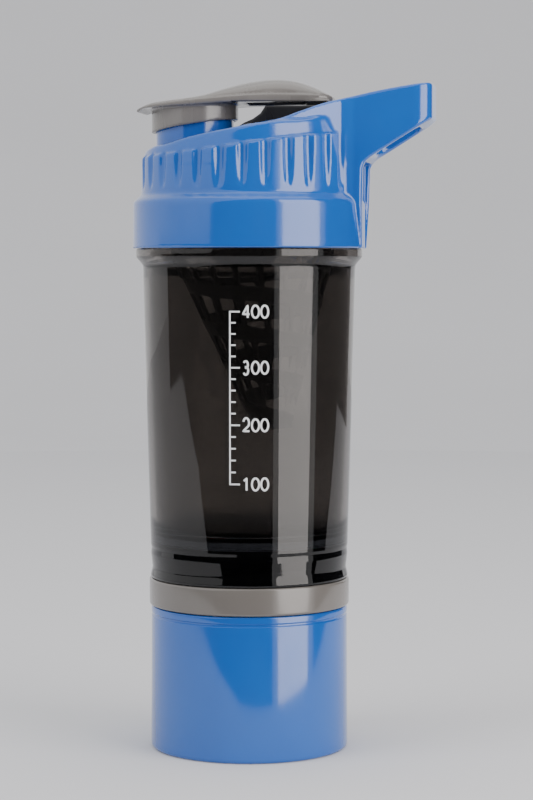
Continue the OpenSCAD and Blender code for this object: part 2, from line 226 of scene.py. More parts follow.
def polygon_distance(u, v, corners):
    """Signed distance from points (u, v) to a closed polygon, negative inside."""
    corners = np.asarray(corners, dtype=float)
    best = None
    inside = None
    for i in range(len(corners)):
        a, b = corners[i - 1], corners[i]
        e = b - a
        wx, wy = u - a[0], v - a[1]
        t = np.clip((wx * e[0] + wy * e[1]) / max(float(e @ e), 1e-9), 0.0, 1.0)
        d = (wx - e[0] * t) ** 2 + (wy - e[1] * t) ** 2
        best = d if best is None else np.minimum(best, d)
        crosses = ((v >= a[1]) & (v < b[1]) & (e[0] * wy > e[1] * wx)) | \
                  ((v < a[1]) & (v >= b[1]) & (e[0] * wy < e[1] * wx))
        inside = crosses if inside is None else inside ^ crosses
    return np.where(inside, -1.0, 1.0) * np.sqrt(best)


def curve_table(points, steps=24):
    """A smooth curve through (x, y) points, as two dense arrays for np.interp."""
    pts = np.asarray(points, dtype=float)
    x, y = pts[:, 0], pts[:, 1]
    slope = np.gradient(y, x)
    xs, ys = [], []
    for i in range(len(x) - 1):
        h = x[i + 1] - x[i]
        t = np.linspace(0, 1, steps, endpoint=False)
        h00, h10 = 2 * t ** 3 - 3 * t ** 2 + 1, t ** 3 - 2 * t ** 2 + t
        h01, h11 = -2 * t ** 3 + 3 * t ** 2, t ** 3 - t ** 2
        xs.append(x[i] + t * h)
        ys.append(h00 * y[i] + h10 * h * slope[i] + h01 * y[i + 1] + h11 * h * slope[i + 1])
    xs.append([x[-1]])
    ys.append([y[-1]])
    return np.concatenate(xs), np.concatenate(ys)


def surface_net(field, low, high, step):
    """Mesh the zero surface of a distance field: surface nets, then points pulled onto the surface."""
    axes = [np.arange(low[i] - 1.5 * step, high[i] + 2.5 * step, step, dtype=np.float32) for i in range(3)]
    gx, gy, gz = axes[0][:, None, None], axes[1][None, :, None], axes[2][None, None, :]
    values = np.broadcast_to(field(gx, gy, gz), tuple(len(a) for a in axes)).astype(np.float32)
    solid = values < 0
    shape = np.array(values.shape) - 1
    total = np.zeros(tuple(shape) + (3,), dtype=np.float32)
    hits = np.zeros(tuple(shape), dtype=np.int32)
    corner = [slice(0, -1), slice(1, None)]
    offsets = [(i, j, k) for i in (0, 1) for j in (0, 1) for k in (0, 1)]
    for axis in range(3):
        for base in offsets:
            if base[axis]:
                continue
            tip = list(base)
            tip[axis] = 1
            a = values[tuple(corner[o] for o in base)]
            b = values[tuple(corner[o] for o in tip)]
            cross = (a < 0) != (b < 0)
            t = np.where(cross, a / np.where(cross, a - b, 1), 0)
            for d in range(3):
                part = t if d == axis else float(base[d])
                total[..., d] += np.where(cross, part, 0)
            hits += cross
    used = hits > 0
    cell = np.full(tuple(shape), -1, dtype=np.int64)
    cell[used] = np.arange(used.sum())
    where = np.argwhere(used)
    points = (where + total[used] / hits[used][:, None]) * step + np.array([a[0] for a in axes])
    faces = []
    for axis in range(3):
        o1, o2 = (axis + 1) % 3, (axis + 2) % 3
        inner = [slice(1, -1)] * 3
        inner[axis] = slice(0, -1)
        lower = solid[tuple(inner)]
        inner[axis] = slice(1, None)
        upper = solid[tuple(inner)]
        flips = np.argwhere(lower != upper)
        outward = lower[tuple(flips.T)]
        place = flips.copy()
        place[:, o1] += 1
        place[:, o2] += 1
        quad = []
        for s1, s2 in ((-1, -1), (0, -1), (0, 0), (-1, 0)):
            at = place.copy()
            at[:, o1] += s1
            at[:, o2] += s2
            quad.append(cell[tuple(at.T)])
        quad = np.stack(quad, axis=1)
        quad[~outward] = quad[~outward][:, ::-1]
        faces.append(quad)
    faces = np.concatenate(faces)
    return settle(field, points, step), faces.tolist()


def settle(field, points, step, rounds=3, nudge=0.02):
    """Pull points onto the field's zero surface along its gradient."""
    start = points.copy()
    for _ in range(rounds):
        x, y, z = points.T
        here = field(x, y, z)
        gradient = np.stack([
            field(x + nudge, y, z) - field(x - nudge, y, z), field(x, y + nudge, z) - field(x, y - nudge, z),
            field(x, y, z + nudge) - field(x, y, z - nudge),
        ], axis=1) / (2 * nudge)
        size = np.maximum((gradient ** 2).sum(axis=1), 0.25)
        points = points - gradient * (here / size)[:, None]
        move = points - start
        length = np.linalg.norm(move, axis=1, keepdims=True)
        points = start + move * np.minimum(1.0, 0.8 * step / np.maximum(length, 1e-9))
    return points


def arc(x, y, r, a0, a1, steps=8):
    """Points along an arc, from a0 to a1 degrees."""
    turns = np.radians(np.linspace(a0, a1, steps + 1))
    return [(x + r * math.cos(t), y + r * math.sin(t)) for t in turns]


def mirrored(half):
    """Close an outline with its mirror image across the first axis."""
    return list(half) + [(x, -y) for x, y in reversed(half)]


# ---------------------------------------------------------------- materials

def new_material(name):
    """A node material, its node tree and its shader."""
    mat = bpy.data.materials.new(name)
    mat.use_nodes = True
    nodes = mat.node_tree.nodes
    shader = next(n for n in nodes if n.type == "BSDF_PRINCIPLED")
    return mat, mat.node_tree, shader


def noise(tree, scale, detail=3.0, stretch=(1, 1, 1)):
    """Noise in object space, in cycles per metre, stretched along the axes."""
    nodes, links = tree.nodes, tree.links
    coords = nodes.new("ShaderNodeTexCoord")
    mapping = nodes.new("ShaderNodeMapping")
    mapping.inputs["Scale"].default_value = stretch
    texture = nodes.new("ShaderNodeTexNoise")
    texture.inputs["Scale"].default_value = scale
    texture.inputs["Detail"].default_value = detail
    links.new(coords.outputs["Object"], mapping.inputs["Vector"])
    links.new(mapping.outputs["Vector"], texture.inputs["Vector"])
    return texture.outputs["Fac"]


def remap(tree, value, low, high, from_low=0.3, from_high=0.7):
    """Stretch a value's range to low..high, clamped at both ends."""
    node = tree.nodes.new("ShaderNodeMapRange")
    node.inputs["From Min"].default_value = from_low
    node.inputs["From Max"].default_value = from_high
    node.inputs["To Min"].default_value = low
    node.inputs["To Max"].default_value = high
    tree.links.new(value, node.inputs["Value"])
    return node.outputs["Result"]


def vary_colour(tree, shader, dark, light, value):
    """Base colour between two colours, by a value from 0 to 1."""
    mix = tree.nodes.new("ShaderNodeMix")
    mix.data_type = "RGBA"
    mix.inputs[6].default_value = (*dark, 1)
    mix.inputs[7].default_value = (*light, 1)
    tree.links.new(value, mix.inputs[0])
    tree.links.new(mix.outputs[2], shader.inputs["Base Color"])


def roughen(tree, shader, value):
    """Let a node value set the roughness."""
    tree.links.new(value, shader.inputs["Roughness"])


def bump(tree, shader, height, strength, distance):
    """Surface relief from a height value; distance is in metres."""
    node = tree.nodes.new("ShaderNodeBump")
    node.inputs["Strength"].default_value = strength
    node.inputs["Distance"].default_value = distance
    tree.links.new(height, node.inputs["Height"])
    tree.links.new(node.outputs["Normal"], shader.inputs["Normal"])


def moulded_plastic(name, dark, light, rough=(0.2, 0.3), coat=0.0, grain=2600, grain_depth=0.00002,
                    subsurface=0.0, specular=0.5):
    """Injection-moulded plastic: soft colour flow, uneven gloss and a fine orange-peel surface."""
    mat, tree, shader = new_material(name)
    vary_colour(tree, shader, dark, light, remap(tree, noise(tree, 22, 4), 0, 1))
    roughen(tree, shader, remap(tree, noise(tree, 140, 5, (1, 1, 0.4)), *rough))
    shader.inputs["IOR"].default_value = 1.49
    shader.inputs["Specular IOR Level"].default_value = specular
    shader.inputs["Coat Weight"].default_value = coat
    shader.inputs["Coat Roughness"].default_value = 0.08
    if subsurface:
        shader.inputs["Subsurface Weight"].default_value = subsurface
        shader.inputs["Subsurface Radius"].default_value = (0.3, 0.6, 1.0)
        shader.inputs["Subsurface Scale"].default_value = 0.003
    bump(tree, shader, noise(tree, grain, 2), 0.25, grain_depth)
    return mat


def object_place(tree):
    """The place on the object in metres, as X, Y and Z sockets."""
    coords = tree.nodes.new("ShaderNodeTexCoord")
    split = tree.nodes.new("ShaderNodeSeparateXYZ")
    tree.links.new(coords.outputs["Object"], split.inputs["Vector"])
    return split.outputs


def darken(tree, shader, dark, keep):
    """Replace the base colour with a dark one where keep is 0."""
    colour = shader.inputs["Base Color"].links[0].from_socket
    mix = tree.nodes.new("ShaderNodeMix")
    mix.data_type = "RGBA"
    mix.inputs[6].default_value = (*dark, 1)
    tree.links.new(keep, mix.inputs[0])
    tree.links.new(colour, mix.inputs[7])
    tree.links.new(mix.outputs[2], shader.inputs["Base Color"])


def darken_foot(tree, shader):
    """Painted shade: the tint is painted darker towards the foot, over the floor of the chamber and the
    closed skirt below it.
    """
    foot_z, clear_z = 0.084, 0.092
    height = remap(tree, object_place(tree)["Z"], 0, 1, foot_z, clear_z)
    darken(tree, shader, (0.018, 0.019, 0.022), height)


def darken_underside(mat):
    """Painted shade: near-black on the cap's underside, behind the collar."""
    shade_z, collar_x, edge = 0.2530, -0.0043, 0.0002
    tree = mat.node_tree
    shader = next(n for n in tree.nodes if n.type == "BSDF_PRINCIPLED")
    place = object_place(tree)
    above = remap(tree, place["Z"], 0, 1, shade_z, shade_z + edge)
    ahead = remap(tree, place["X"], 1, 0, collar_x, collar_x + edge)
    keep = tree.nodes.new("ShaderNodeMath")
    keep.operation = "MAXIMUM"
    tree.links.new(above, keep.inputs[0])
    tree.links.new(ahead, keep.inputs[1])
    darken(tree, shader, (0.006, 0.006, 0.007), keep.outputs["Value"])


def smoke_plastic():
    """Clear, dark-tinted, polished wall with faint flow lines and moulding ripple."""
    mat, tree, shader = new_material("smoke_plastic")
    tint = remap(tree, noise(tree, 30, 3), 0, 1)
    vary_colour(tree, shader, (0.165, 0.15, 0.138), (0.195, 0.178, 0.165), tint)
    # painted shade, darker towards the foot
    darken_foot(tree, shader)
    shader.inputs["Transmission Weight"].default_value = 1.0
    shader.inputs["IOR"].default_value = 1.5
    roughen(tree, shader, remap(tree, noise(tree, 120, 4, (1, 1, 0.15)), 0.015, 0.05))
    bump(tree, shader, noise(tree, 160, 2, (1, 1, 0.12)), 0.12, 0.00003)
    return mat


def silicone():
    """Translucent, matt white rubber."""
    mat, tree, shader = new_material("silicone")
    vary_colour(tree, shader, (0.55, 0.56, 0.58), (0.66, 0.67, 0.69), remap(tree, noise(tree, 90, 4), 0, 1))
    shader.inputs["Roughness"].default_value = 0.55
    shader.inputs["Subsurface Weight"].default_value = 0.2
    shader.inputs["Subsurface Scale"].default_value = 0.002
    bump(tree, shader, noise(tree, 3000, 2), 0.2, 0.00002)
    return mat


def drawn_steel():
    """Steel wire with fine lines along Y, the way it was drawn."""
    mat, tree, shader = new_material("drawn_steel")
    lines = remap(tree, noise(tree, 900, 4, (1, 0.05, 1)), 0, 1)
    vary_colour(tree, shader, (0.5, 0.5, 0.51), (0.66, 0.66, 0.67), lines)
    shader.inputs["Metallic"].default_value = 1.0
    roughen(tree, shader, remap(tree, noise(tree, 1500, 4, (1, 0.04, 1)), 0.22, 0.42))
    bump(tree, shader, noise(tree, 4000, 2, (1, 0.03, 1)), 0.2, 0.00001)
    return mat


def printed_ink():
    """Opaque white screen print with slightly uneven ink."""
    mat, tree, shader = new_material("printed_ink")
    vary_colour(tree, shader, (0.70, 0.71, 0.72), (0.82, 0.83, 0.84), remap(tree, noise(tree, 1500, 4), 0, 1))
    shader.inputs["Roughness"].default_value = 0.5
    bump(tree, shader, noise(tree, 5000, 2), 0.15, 0.00001)
    return mat


BLUE = moulded_plastic("blue_plastic", (0.004, 0.088, 0.39), (0.006, 0.104, 0.44), (0.1, 0.18), coat=0.5,
                       subsurface=0.03, specular=0.75)
TAUPE = moulded_plastic("taupe_plastic", (0.13, 0.119, 0.109), (0.15, 0.138, 0.127), (0.16, 0.26), coat=0.3,
                        specular=0.7)
TAUPE_CAP = moulded_plastic("taupe_cap", (0.15, 0.14, 0.13), (0.175, 0.163, 0.152), (0.2, 0.3), coat=0.3,
                            specular=0.7)
# painted shade on the cap's underside, behind the collar
darken_underside(TAUPE_CAP)
# black plastic for the mixing cone, and painted shade on the hinge lugs
BLACK_AND_SHADE = moulded_plastic("black_plastic", (0.01, 0.01, 0.011), (0.018, 0.018, 0.02), (0.25, 0.4))
SMOKE = smoke_plastic()
SILICONE = silicone()
STEEL = drawn_steel()
INK = printed_ink()


# ---------------------------------------------------------------- storage cup and coupling

WALL_FOOT_R, WALL_FOOT_Z = 38.5, 67
WALL_TOP_R, WALL_TOP_Z = 41.8, 190


def wall_r(z):
    """Outer radius of the bottle's wall at height z."""
    share = (WALL_TOP_R - WALL_FOOT_R) * (z - WALL_FOOT_Z) / (WALL_TOP_Z - WALL_FOOT_Z)
    return WALL_FOOT_R + share


BOTTLE_WALL = 2.2
CUP_WALL = 2.0
RIM_INSET = 0.3
CUP_INNER = CUP_R - RIM_INSET - CUP_WALL
SKIRT_INNER = wall_r(WALL_FOOT_Z) - BOTTLE_WALL
SPIGOT_GAP = 1.5
BAND_Z = cup_hi[2] + 0.3
BAND_TOP = BAND_Z + 10.6
SEAL_H = 0.9

# the threads of both cup joints: ridge height and root width, lead, sweep in degrees, and their place
CUP_RIDGE = (1.1, 2.2)
CUP_LEAD, CUP_SWEEP = 10, 150
RIDGE_FROM_BAND = 6.4
RIDGE_OFFSET = 2.5


def make_storage_cup():
    top = cup_hi[2]
    rim_r = CUP_R - RIM_INSET
    outline = rounded([
        (0, 0.5, 0), (30, 0.5, 0.6), (32, 0, 0.6), (CUP_R, 0, 1.9), (rim_r, top - 4.0, 0.3),
        (rim_r - 0.45, top - 3.6, 0.15), (rim_r - 0.45, top - 3.0, 0.15), (rim_r + 0.05, top - 2.6, 0.3),
        (rim_r + 0.05, top, 0.9), (CUP_INNER, top, 0.4), (CUP_INNER, 2.6, 5), (0, 2.6, 0),
    ])
    ridges = thread(CUP_INNER, -1, *CUP_RIDGE, BAND_Z - RIDGE_FROM_BAND, CUP_LEAD, CUP_SWEEP)
    verts, faces = join_parts(lathe(outline, WALL_SEGMENTS), ridges)
    piece("storage_cup_shell", verts, faces, "cup", "blue_plastic", BLUE, ["storage_cup"])


def make_coupling():
    low, high = band_lo[2], band_hi[2]
    low_r, high_r = CUP_INNER - SPIGOT_GAP, SKIRT_INNER - SPIGOT_GAP
    wall, groove, web, web_t = 1.9, 0.5, BAND_Z + 3, 2.2
    outline = rounded([
        (0, web, 0), (low_r - wall, web, 1.0), (low_r - wall, low, 0.4), (low_r, low, 0.7),
        (low_r, BAND_Z - SEAL_H, 0.1), (low_r - groove, BAND_Z - SEAL_H, 0.1), (low_r - groove, BAND_Z, 0.1),
        (BAND_R, BAND_Z, 1.0), (BAND_R, BAND_TOP, 1.0), (high_r, BAND_TOP, 0.2), (high_r, high, 0.4),
        (high_r - wall, high, 0.3), (high_r - wall, web + web_t, 1.2), (0, web + web_t, 0),
    ])
    lower_z = BAND_Z - RIDGE_FROM_BAND - RIDGE_OFFSET
    lower = thread(low_r, 1, *CUP_RIDGE, lower_z, CUP_LEAD, CUP_SWEEP)
    upper = thread(high_r, 1, *CUP_RIDGE, BAND_TOP + RIDGE_FROM_BAND, CUP_LEAD, CUP_SWEEP)
    verts, faces = join_parts(lathe(outline, WALL_SEGMENTS), lower, upper)
    piece("coupling_band", verts, faces, "coupling", "taupe_plastic", TAUPE, ["storage_coupling"])


def make_seal(name, node, body, inner, outer, radius=0.3):
    """A silicone ring as tall as its node."""
    low, high = span(node)
    outline = rounded([
        (inner, low[2], radius), (outer, low[2], radius), (outer, high[2], radius), (inner, high[2], radius),
    ])
    verts, faces = lathe(outline)
    piece(name, verts, faces, body, "silicone", SILICONE, [node])


make_storage_cup()
make_coupling()
make_seal("cup_seal_ring", "storage_seal", "cup_seal", CUP_INNER - 1.9, CUP_INNER - 0.3)
make_seal("foot_seal_ring", "base_seal", "foot_seal", SKIRT_INNER - 3.4, SKIRT_INNER - 0.3, 0.5)
make_seal("lid_gasket_ring", "lid_gasket", "lid_seal", 37.2, gasket_hi[1], 0.8)


# ---------------------------------------------------------------- bottle

FLOOR_Z = 84.0
FLOOR_T = 2.4
NECK_R = 41.0
NECK_LEAD, NECK_SWEEP = 12, 200
NECK_THREAD_Z = FLANGE_Z + 5.4
NECK_INNER = NECK_R - BOTTLE_WALL
FLANGE_R = bottle_hi[0]


def make_bottle():
    foot = bottle_lo[2]
    taper = FLANGE_Z - 6.2
    outline = rounded([
        (SKIRT_INNER, foot, 0.4), (wall_r(foot) + 0.15, foot, 0.4), (wall_r(foot) + 0.4, foot + 0.9, 0.6),
        (wall_r(72) - 0.4, 71.4, 3.0), (wall_r(77) + 0.05, 77.0, 2.2), (wall_r(79.5) - 0.25, 79.2, 0.7),
        (wall_r(80.6), 80.4, 0.9), (wall_r(taper), taper, 3.0), (FLANGE_R - 0.5, FLANGE_Z - 3.6, 1.6),
        (FLANGE_R, FLANGE_Z - 2.9, 0.4), (FLANGE_R, FLANGE_Z, 0.5), (NECK_R, FLANGE_Z, 0.5),
        (NECK_R, NECK_TOP, 0.8), (NECK_INNER, NECK_TOP, 0.5), (NECK_INNER, FLANGE_Z - 3, 3.0),
        (wall_r(taper - 5) - BOTTLE_WALL, taper - 5, 3.0), (wall_r(FLOOR_Z) - BOTTLE_WALL, FLOOR_Z, 8.0),
        (0, FLOOR_Z, 0), (0, FLOOR_Z - FLOOR_T, 0), (SKIRT_INNER, FLOOR_Z - FLOOR_T, 1.2),
    ], steps=8)
    skirt_z = BAND_TOP + RIDGE_FROM_BAND - RIDGE_OFFSET
    skirt = thread(SKIRT_INNER, -1, *CUP_RIDGE, skirt_z, CUP_LEAD, CUP_SWEEP)
    neck = thread(NECK_R, 1, 1.7, 2.7, NECK_THREAD_Z, NECK_LEAD, NECK_SWEEP)
    verts, faces = join_parts(lathe(outline, WALL_SEGMENTS), skirt, neck)
    piece("bottle_shell", verts, faces, "bottle", "smoke_plastic", SMOKE, ["bottle_body"])


make_bottle()


# ---------------------------------------------------------------- lid

FLUTES = 30
FLUTE_R = 2.1
FLUTE_DEPTH = 1.6
FLUTE_LOW_Z = 219.6
DECK_Z = 238.0
LOOP_HALF = 14.0
LOOP_HOLE_NEAR, LOOP_END_BAR, LOOP_ARM = 50.2, 6.2, 4
LID_THREAD_Z = NECK_THREAD_Z - 3.0
LID_BORE_R = 43.3
LID_RIDGE_H = 1.7
LUG_GAP, LUG_HALF_T = 0.4, 1.6
KNUCKLE_HALF = 9.9
FAR = 5.0

wall_top = curve_table([(-60, 235.2), (-33, 235.6), (-27, 236.3), (-20, 237.9), (-11, 239.6), (-2, 241.2),
                        (8, 243.1), (17, 245.4), (24, 248.2), (31, 251.2), (36, 252.9), (44, 254.9),
                        (53, 256.8), (63, 258.5), (LOOP_X + 6, 260.6)])
crown_top = curve_table([(-60, 233.5), (-42, 234.0), (-33, 235.8), (-27, 236.4), (-20, 237.9), (-11, 239.6),
                         (-2, 241.2), (8, 243.1), (17, 244.4), (26, 245.2), (34, 247.4), (42, 249)])
grip_top = curve_table([(-60, 231.6), (-42, 231.8), (-30, 232.2), (-19, 233.0), (-8, 234.2), (4, 235.7),
                        (16, 237.3), (28, 239.2), (37, 240.4), (60, 243.4)])


def below(curve, x, z, slope_fix=0.98):
    """Distance below a curve z(x)."""
    return (z - np.interp(x, *curve)) * slope_fix


def box_plan(x, y, x0, x1, half):
    """Distance to an upright box, seen from above."""
    return np.maximum(np.maximum(x0 - x, x - x1), np.abs(y) - half)


def lid_grip(x, z, r):
    """The band at the lid's foot and the grip above it."""
    shoulder = FLANGE_Z + 18.3
    band = smax(r - LID_R, (r - GRIP_R - 0.35) * 0.64 + (z - shoulder - 2.5) * 0.77, 0.9)
    band = np.maximum(band, z - shoulder - 5)
    grip = smax(r - GRIP_R, below(grip_top, x, z), 1.1)
    return smin(band, grip, 0.7)


def lid_flutes(x, z, r, turn):
    """Grooves round the grip, deeper upwards, with a plain stretch at the spine."""
    plain = math.radians(20)
    pitch = 2 * math.pi / FLUTES
    number = np.round(turn / pitch)
    local = turn - number * pitch
    depth = FLUTE_DEPTH * np.sqrt(np.clip((z - FLUTE_LOW_Z) / 14, 0, 1))
    axis_r = GRIP_R + FLUTE_R - depth
    groove = np.sqrt((r * np.sin(local)) ** 2 + (r * np.cos(local) - axis_r) ** 2) - FLUTE_R
    groove = np.maximum(groove, FLUTE_LOW_Z - z)
    groove = np.maximum(groove, below(grip_top, x, z) - 0.3)
    return np.where(np.abs(number) * pitch < plain, FAR, groove)


def lid_crown(x, z, r):
    """The sloping shoulder above the grip."""
    cone = (r - (41.3 - (z - 231) * 0.19)) * 0.982
    return smax(smax(cone, below(crown_top, x, z), 1.6), 228.5 - z, 0.5)


LOOP_OUTLINE = mirrored([(4, -36.6), (14, -33.2), (24, -27.6), (33, -19.6), (38, -15.6), (43, -LOOP_HALF)]
                        + arc(LOOP_X - 7, -LOOP_HALF + 7, 7, -90, 0))
LOOP_SIDE = [(LOOP_X, 262), (LOOP_X, 246.2), (49.2, 231.4), (47.2, 229.6), (46.3, 227.6),
             (45.5, FLANGE_Z + 0.2), (38, FLANGE_Z + 0.2), (4, 225), (-2, 225), (-2, 262)]
WELL_OUTLINE = mirrored([(34.3 * math.cos(math.radians(a)), -34.3 * math.sin(math.radians(a)))
                         for a in range(176, 48, -8)]
                        + [(30, -17.6), (39.2, -10.4)])


def lid_loop(x, y, z):
    """The raised walls, the carry loop and the spine down to the lid's foot."""
    plan = polygon_distance(x, y, LOOP_OUTLINE)
    side = polygon_distance(x, z, LOOP_SIDE)
    body = smax(smax(plan, side, 1.6), below(wall_top, x, z, 0.95), 1.3)
    # the spine narrows towards the lid's lower edge, and has a shallow channel down its back
    spine_half = np.interp(z, [FLANGE_Z, 214, 262], [8.6, 14.2, 40])
    body = smax(body, np.where(x > 36, np.abs(y) - spine_half, -FAR), 0.8)
    channel_half = np.interp(z, [FLANGE_Z, 214, 228], [5.4, 10.4, 10.6])
    channel = smax(smax(np.abs(y) - channel_half, 44.1 - x, 0.6), z - 229.5, 1.0)
    body = smax(body, -channel, 0.7)
    hole_side = np.maximum(LOOP_HOLE_NEAR - x, x - (LOOP_X - LOOP_END_BAR))
    hole = smax(hole_side, np.abs(y) - (LOOP_HALF - LOOP_ARM), 5.0)
    return smax(body, -hole, 1.6)


def lid_lugs(x, y, z):
    """The pair of cheeks that hold the hinge pin."""
    lug_mid = KNUCKLE_HALF + LUG_GAP + LUG_HALF_T
    profile = [(-2.5, DECK_Z - 1), (-2.5, 243.2), (0.2, 244.9), (3.6, 246.3), (6.6, 248.4), (8.6, 251.4),
               (20, 251.3), (PIN_X + 1, PIN_Z + 4.3), (PIN_X + 4.2, PIN_Z + 1), (PIN_X + 4.2, DECK_Z - 1)]
    return smax(polygon_distance(x, z, profile), np.abs(np.abs(y) - lug_mid) - LUG_HALF_T, 0.8)


def lid_inside(x, y, z, r):
    """The threaded bore, the dome over it and the spout's bore."""
    roof = DECK_Z - 2.4
    hollow = np.minimum(np.maximum(r - LID_BORE_R, z - 214.0), np.maximum(r - 41.2, z - gasket_hi[2]))
    dome = smax(smax(r - 37.0, z - roof, 6.0), 190 - z, 1.0)
    bore = np.maximum(np.hypot(x - SPOUT_X, y) - (SPOUT_R - SPOUT_WALL), 225 - z)
    return np.minimum(smin(hollow, dome, 0.5), bore)


def lid_thread(z, r, turn):
    """Two ridges inside the lid that match the neck's."""
    sweep = math.radians(NECK_SWEEP)
    ridge = None
    for start in (0, math.pi):
        t = np.mod(turn - start, 2 * math.pi)
        along = np.degrees(t) / 360 * NECK_LEAD
        fade = np.clip(np.minimum(t, sweep - t) * 4, 0, 1)
        crest = LID_BORE_R - LID_RIDGE_H * np.maximum(fade, 0.01)
        half = 0.7 + np.clip((r - 41.6) / LID_RIDGE_H, 0, 1) * 0.7
        d = np.maximum(np.abs(z - LID_THREAD_Z - along) - half, crest - r)
        d = np.where(t > sweep, FAR, d)
        ridge = d if ridge is None else np.minimum(ridge, d)
    return smax(ridge, r - 44.5, 0.3)


def lid_field(x, y, z):
    """The whole lid as one moulding."""
    r = np.hypot(x, y)
    turn = np.arctan2(y, x)
    body = lid_grip(x, z, r)
    upper = smin(lid_crown(x, z, r), lid_loop(x, y, z), 1.2)
    well = smax(polygon_distance(x, y, WELL_OUTLINE), DECK_Z - z, 1.2)
    step = smax(box_plan(x, y, 37.5, 50.6, LOOP_HALF - 3.6), 243 - z, 1.2)
    upper = smax(upper, -np.minimum(well, step), 1.3)
    body = smax(smin(body, upper, 0.8), -lid_flutes(x, z, r, turn), 0.45)
    spout_r = np.hypot(x - SPOUT_X, y)
    spout_top = (z - 250.3 - (x - SPOUT_X) * 0.0875) * 0.996
    spout = smax(smax(spout_r - SPOUT_R, spout_top, 1.1), 235 - z, 0.5)
    body = smin(body, spout, 0.9)
    body = smax(body, -lid_inside(x, y, z, r), 0.7)
    body = smin(body, lid_thread(z, r, turn), 0.4)
    pin = np.hypot(x - PIN_X, z - PIN_Z) - PIN_R
    body = smax(body, -np.maximum(pin, np.abs(y) - pin_hi[1]), 0.2)
    return smax(body, FLANGE_Z + 0.25 - z, 0.6)


piece("lid_shell", *surface_net(lid_field, lid_lo, lid_hi, 0.73), "lid", "blue_plastic", BLUE, ["lid"])


def lug_field(x, y, z):
    """The lugs alone, in black as painted shade under the cap."""
    lugs = smax(lid_lugs(x, y, z), DECK_Z - 0.3 - z, 0.2)
    pin = np.hypot(x - PIN_X, z - PIN_Z) - 1.52
    return smax(lugs, -np.maximum(pin, np.abs(y) - pin_hi[1]), 0.2)


# painted shade: the hinge lugs under the cap are black
piece("hinge_lugs", *surface_net(lug_field, (-3.5, -14, DECK_Z - 1), (PIN_X + 5, 14, 252), 0.45),
      "lid", "black_plastic", BLACK_AND_SHADE)


# ---------------------------------------------------------------- flip cap

CAP_UNDER = 252.9
CAP_WALL = 2.2
CAP_HOLLOW_HALF = 7.8
COLLAR_R = 17.0
KNUCKLE_R = 3.4

cap_half = curve_table([(-44, 7.0), (-42, 10.5), (-38, 15.2), (-32, 18.2), (-24, 19.0), (-14, 18.3),
                        (-2, 16.7), (6, 14.5), (14, 11.4), (20, 9.9), (26, 9.7), (30, 8.3), (33.0, 4.6),
                        (34.6, 0.0)])
cap_bottom = curve_table([(-46, 249.0), (-43, 249.5), (-40.8, 250.5), (-36, 250.9), (-20, 251.7), (-4, 252.7),
                          (6, 252.9), (40, 252.9)])
cap_crest = curve_table([(-46, 249.6), (-43, 250.5), (-38, 253.0), (-30, 254.3), (-22, 255.2), (-15.5, 256.5),
                         (-8, 259.0), (2, 261.3), (11.5, 262.1), (20, 261.0), (27, 258.5), (33.4, 255.2),
                         (38, 252.6)])
cap_edge = curve_table([(-46, 250.2), (-42, 251.1), (-30, 252.8), (-16, 254.2), (-4, 255.2), (10, 256.0),
                        (22, 256.0), (36, 255.2)])


CAP_OUTLINE = mirrored([(x, -float(np.interp(x, *cap_half)))
                        for x in (-43.2, -42, -40, -37, -33, -28, -22, -14, -6, 2, 10, 18, 25, 29, 32, 33.4)])
CAP_HOLLOW = [(-1, 251), (-1, 255), (4, 257.4), (12, 258.4), (20, 257.2), (23.4, 255), (23.4, 251)]


def cap_field(x, y, z):
    """The lever cap with its collar, its hollow and its hinge knuckle."""
    half = np.interp(x, *cap_half)
    under, crest, edge = (np.interp(x, *c) for c in (cap_bottom, cap_crest, cap_edge))
    share = np.clip(np.abs(y) / np.maximum(half, 0.5), 0, 1)
    inset = np.clip(share / 0.93, 0, 1)
    dome = edge + (crest - edge) * np.sqrt(np.maximum(1 - inset ** 2.4, 0))
    outline = polygon_distance(x, y, CAP_OUTLINE)
    shell = smax(smax((z - dome) * 0.9, under - z, 0.6), outline, 0.8)
    hollow = smax(polygon_distance(x, z, CAP_HOLLOW), np.abs(y) - CAP_HOLLOW_HALF, 2.0)
    hollow = smax(hollow, (z - dome) + CAP_WALL, 1.0)
    shell = smax(shell, -hollow, 0.5)
    ring_r = np.hypot(x - SPOUT_X, y)
    skirt_low = (244.2 + (x - SPOUT_X) * 0.153 - z) * 0.99
    ring = smax(smax(ring_r - COLLAR_R, skirt_low, 0.6), z - under - 1, 0.4)
    body = smin(shell, ring, 0.9)
    mouth = np.maximum(ring_r - (SPOUT_R + 0.3), z - (251.9 + (x - SPOUT_X) * 0.06))
    body = smax(body, -mouth, 0.5)
    knuckle = np.hypot(x - PIN_X, z - PIN_Z) - KNUCKLE_R
    web_side = np.abs(x - PIN_X + 0.5) - 3.6 - (z - PIN_Z) * 0.12
    web = smax(web_side, np.maximum(PIN_Z - z, z - CAP_UNDER - 1), 0.4)
    arm = smax(np.minimum(knuckle, web), np.abs(y) - 9.7, 0.7)
    body = smin(body, arm, 0.8)
    return smax(body, -(np.hypot(x - PIN_X, z - PIN_Z) - 1.56), 0.15)


piece("flip_cap_shell", *surface_net(cap_field, cap_lo, cap_hi, 0.5), "cap", "taupe_plastic", TAUPE_CAP,
      ["flip_cap"])


# ---------------------------------------------------------------- pin and plug

def make_pin():
    half = pin_hi[1]
    outline = rounded([(0, -half, 0), (PIN_R, -half, 0.35), (PIN_R, half, 0.35), (0, half, 0)])
    verts, faces = lathe(outline, 48)
    verts = np.stack([verts[:, 0] + PIN_X, verts[:, 2], PIN_Z - verts[:, 1]], axis=1)
    piece("hinge_pin_rod", verts, faces, "lid", "steel", STEEL, ["hinge_pin"])


